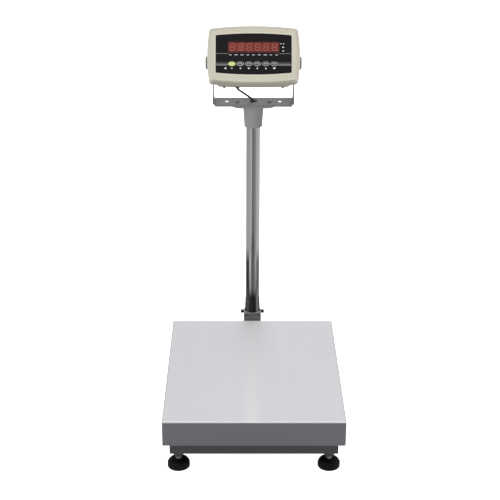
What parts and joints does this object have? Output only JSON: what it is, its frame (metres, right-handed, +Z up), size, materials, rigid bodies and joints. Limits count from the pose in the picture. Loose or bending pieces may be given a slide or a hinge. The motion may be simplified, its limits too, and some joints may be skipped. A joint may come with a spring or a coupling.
{
  "type": "animal weighing scale",
  "caption": "Platform scale for animals with a steel pan over a load cell, levelling feet, a round rear column and a tilting digital indicator.",
  "frame": {"origin": "middle of the bounding box's footprint, on the floor that the feet stand on", "axes": "+X to the right of a person facing the indicator, +Y from the front of the pan back to the column, +Z up"},
  "size_m": [0.42, 0.6252, 0.9079],
  "materials": {
    "pan_steel": "fine straight brushed stainless sheet",
    "dark_paint": "dark grey powder coat, fine texture",
    "socket_paint": "dark grey powder coat",
    "collar_paint": "grey paint worn to metal at the rim",
    "yoke_paint": "mid grey powder coat, fine texture",
    "inner_paint": "grey painted pressed steel",
    "cell_alloy": "milled aluminium",
    "plate_steel": "plain steel",
    "zinc": "zinc plated",
    "black_screw": "black oxide",
    "black_rubber": "matte rubber",
    "foot_rubber": "moulded black rubber, slight sheen",
    "cable_black": "smooth cable sheath",
    "tube_chrome": "polished stainless tube",
    "sleeve_plastic": "glossy black plastic",
    "black_plastic": "black moulded plastic",
    "head_plastic": "mid grey moulded plastic, fine texture",
    "case_plastic": "ivory moulded plastic, fine texture",
    "panel_black": "satin black printed panel with silver bands",
    "window_red": "dark red display filter",
    "digit_red": "red display blocks",
    "board_green": "printed circuit board",
    "battery_case": "sealed battery case",
    "knob_plastic": "grey moulded plastic",
    "bumper": "ivory rubber",
    "key_green": "yellow-green domed key",
    "key_dark": "dark domed key with a silver border",
    "vial": "tinted level vial"
  },
  "bodies": {
    "base": {"base_frame": "dark_paint", "load_cell": "cell_alloy", "lower_spacer": "plate_steel", "lower_cell_bolts": "black_screw", "overload_stops": "zinc", "foot_lock_nuts": "dark_paint", "base_cable": "cable_black", "level_housing": "black_plastic", "level_vial": "vial", "column_socket": "socket_paint", "socket_bolts": "zinc", "lower_bush": "black_plastic", "clamp_collar": "collar_paint", "clamp_sleeve": "sleeve_plastic"},
    "weigh_frame": {"load_frame": "inner_paint", "platter_pads": "black_rubber", "upper_spacer": "plate_steel", "upper_cell_bolts": "black_screw"},
    "pan": {"platter": "pan_steel"},
    "column": {"column_tube": "tube_chrome", "column_head": "head_plastic", "head_set_screw": "black_screw", "yoke": "yoke_paint", "yoke_screws": "yoke_paint", "cable_grommet": "black_rubber", "signal_cable": "cable_black"},
    "indicator": {"front_housing": "case_plastic", "rear_housing": "case_plastic", "panel_overlay": "panel_black", "display_window": "window_red", "display_module": "digit_red", "front_board": "board_green", "main_board": "board_green", "battery": "battery_case", "battery_cover": "case_plastic", "power_inlet": "black_plastic", "cable_gland": "black_plastic", "case_screws": "zinc", "case_bumpers": "bumper", "tilt_washers": "black_plastic"},
    "foot_pad_front_left": {"foot_pad_front_left": "foot_rubber"},
    "foot_stud_front_left": {"foot_stud_front_left": "zinc"},
    "foot_pad_front_right": {"foot_pad_front_right": "foot_rubber"},
    "foot_stud_front_right": {"foot_stud_front_right": "zinc"},
    "foot_pad_back_left": {"foot_pad_back_left": "foot_rubber"},
    "foot_stud_back_left": {"foot_stud_back_left": "zinc"},
    "foot_pad_back_right": {"foot_pad_back_right": "foot_rubber"},
    "foot_stud_back_right": {"foot_stud_back_right": "zinc"},
    "knob_washer_left": {"knob_washer_left": "zinc"},
    "knob_left": {"knob_left": "knob_plastic"},
    "knob_washer_right": {"knob_washer_right": "zinc"},
    "knob_right": {"knob_right": "knob_plastic"},
    "clamp_screw_left": {"clamp_screw_left": "black_screw"},
    "clamp_screw_right": {"clamp_screw_right": "black_screw"},
    "key_power": {"key_power": "key_green"},
    "key_zero": {"key_zero": "key_dark"},
    "key_tare": {"key_tare": "key_dark"},
    "key_hold": {"key_hold": "key_dark"},
    "key_mode": {"key_mode": "key_dark"},
    "key_print": {"key_print": "key_dark"}
  },
  "joints": [
    {"name": "weighing_travel", "type": "slide", "parent": "base", "child": "weigh_frame", "axis": [0, 0, 1], "range_m": [-0.0005, 0], "stiffness_N_per_m": 1000000, "deforming": ["load_cell"]},
    {"name": "pan_lift", "type": "slide", "parent": "weigh_frame", "child": "pan", "axis": [0, 0, 1], "range_m": [0, 0.08]},
    {"name": "foot_height_front_left", "type": "slide", "parent": "base", "child": "foot_pad_front_left", "axis": [0, 0, -1], "range_m": [-0.003, 0.009]},
    {"name": "foot_turn_front_left", "type": "hinge", "parent": "foot_pad_front_left", "child": "foot_stud_front_left", "pos_m": [-0.175, -0.27757, 0], "axis": [0, 0, -1], "range_deg": [-720, 2160]},
    {"name": "foot_height_front_right", "type": "slide", "parent": "base", "child": "foot_pad_front_right", "axis": [0, 0, -1], "range_m": [-0.003, 0.009]},
    {"name": "foot_turn_front_right", "type": "hinge", "parent": "foot_pad_front_right", "child": "foot_stud_front_right", "pos_m": [0.175, -0.27757, 0], "axis": [0, 0, -1], "range_deg": [-720, 2160]},
    {"name": "foot_height_back_left", "type": "slide", "parent": "base", "child": "foot_pad_back_left", "axis": [0, 0, -1], "range_m": [-0.003, 0.009]},
    {"name": "foot_turn_back_left", "type": "hinge", "parent": "foot_pad_back_left", "child": "foot_stud_back_left", "pos_m": [-0.175, 0.17243, 0], "axis": [0, 0, -1], "range_deg": [-720, 2160]},
    {"name": "foot_height_back_right", "type": "slide", "parent": "base", "child": "foot_pad_back_right", "axis": [0, 0, -1], "range_m": [-0.003, 0.009]},
    {"name": "foot_turn_back_right", "type": "hinge", "parent": "foot_pad_back_right", "child": "foot_stud_back_right", "pos_m": [0.175, 0.17243, 0], "axis": [0, 0, -1], "range_deg": [-720, 2160]},
    {"name": "column_swivel", "type": "hinge", "parent": "base", "child": "column", "pos_m": [0, 0.25243, 0.135], "axis": [0, 0, 1], "range_deg": [-90, 90]},
    {"name": "indicator_tilt", "type": "hinge", "parent": "column", "child": "indicator", "pos_m": [0, 0.25243, 0.821], "axis": [-1, 0, 0], "range_deg": [-22, 48], "deforming": ["signal_cable"]},
    {"name": "knob_back_off_left", "type": "slide", "parent": "indicator", "child": "knob_washer_left", "axis": [-1, 0, 0], "range_m": [0, 0.004]},
    {"name": "knob_turn_left", "type": "hinge", "parent": "knob_washer_left", "child": "knob_left", "pos_m": [-0.102, 0.25243, 0.821], "axis": [-1, 0, 0], "range_deg": [0, 1440]},
    {"name": "knob_back_off_right", "type": "slide", "parent": "indicator", "child": "knob_washer_right", "axis": [1, 0, 0], "range_m": [0, 0.004]},
    {"name": "knob_turn_right", "type": "hinge", "parent": "knob_washer_right", "child": "knob_right", "pos_m": [0.102, 0.25243, 0.821], "axis": [1, 0, 0], "range_deg": [0, 1440]},
    {"name": "clamp_turn_left", "type": "hinge", "parent": "base", "child": "clamp_screw_left", "pos_m": [-0.023, 0.25243, 0.141], "axis": [-1, 0, 0], "range_deg": [0, 360]},
    {"name": "clamp_turn_right", "type": "hinge", "parent": "base", "child": "clamp_screw_right", "pos_m": [0.023, 0.25243, 0.141], "axis": [1, 0, 0], "range_deg": [0, 360]},
    {"name": "press_power", "type": "slide", "parent": "indicator", "child": "key_power", "axis": [0, 0.891, -0.454], "range_m": [0, 0.0006], "stiffness_N_per_m": 400},
    {"name": "press_zero", "type": "slide", "parent": "indicator", "child": "key_zero", "axis": [0, 0.891, -0.454], "range_m": [0, 0.0006], "stiffness_N_per_m": 400},
    {"name": "press_tare", "type": "slide", "parent": "indicator", "child": "key_tare", "axis": [0, 0.891, -0.454], "range_m": [0, 0.0006], "stiffness_N_per_m": 400},
    {"name": "press_hold", "type": "slide", "parent": "indicator", "child": "key_hold", "axis": [0, 0.891, -0.454], "range_m": [0, 0.0006], "stiffness_N_per_m": 400},
    {"name": "press_mode", "type": "slide", "parent": "indicator", "child": "key_mode", "axis": [0, 0.891, -0.454], "range_m": [0, 0.0006], "stiffness_N_per_m": 400},
    {"name": "press_print", "type": "slide", "parent": "indicator", "child": "key_print", "axis": [0, 0.891, -0.454], "range_m": [0, 0.0006], "stiffness_N_per_m": 400}
  ],
  "couplings": [
    {"joint": "foot_turn_front_left", "follows": "foot_height_front_left", "rad_per_m": 4188.8},
    {"joint": "foot_turn_front_right", "follows": "foot_height_front_right", "rad_per_m": 4188.8},
    {"joint": "foot_turn_back_left", "follows": "foot_height_back_left", "rad_per_m": 4188.8},
    {"joint": "foot_turn_back_right", "follows": "foot_height_back_right", "rad_per_m": 4188.8},
    {"joint": "knob_turn_left", "follows": "knob_back_off_left", "rad_per_m": 6283.2},
    {"joint": "knob_turn_right", "follows": "knob_back_off_right", "rad_per_m": 6283.2}
  ]
}
